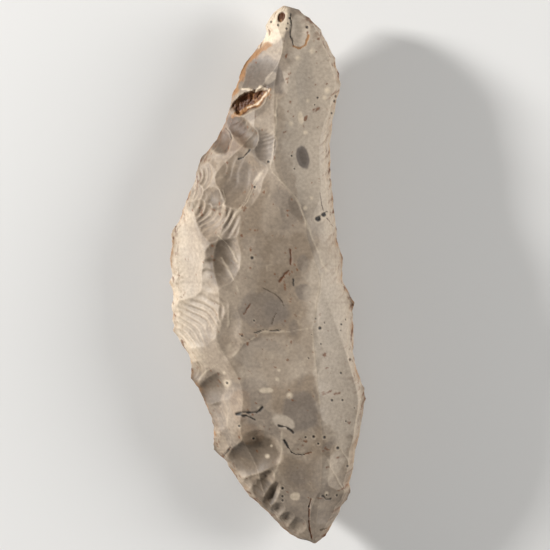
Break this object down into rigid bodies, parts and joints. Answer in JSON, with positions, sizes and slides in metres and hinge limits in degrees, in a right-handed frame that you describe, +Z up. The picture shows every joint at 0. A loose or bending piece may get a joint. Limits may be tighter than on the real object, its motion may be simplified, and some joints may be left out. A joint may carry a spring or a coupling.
{
  "type": "flint axe",
  "caption": "Chipped flint axe-head with a narrow butt, a curved bevelled margin and a pointed broad end, lying on its flaked back.",
  "frame": {"origin": "on the surface the stone rests on, under the middle of its outline", "axes": "+Y along the stone to the narrow end, +X to the straighter margin, +Z up out of the worked front face"},
  "size_m": [0.073, 0.2, 0.0339],
  "materials": {
    "flint": "grey-brown patinated flint, half gloss, with pale spots, rust stains and chalky cortex at the narrow end"
  },
  "bodies": {
    "root": {"flint_axe": "flint"}
  },
  "joints": []
}
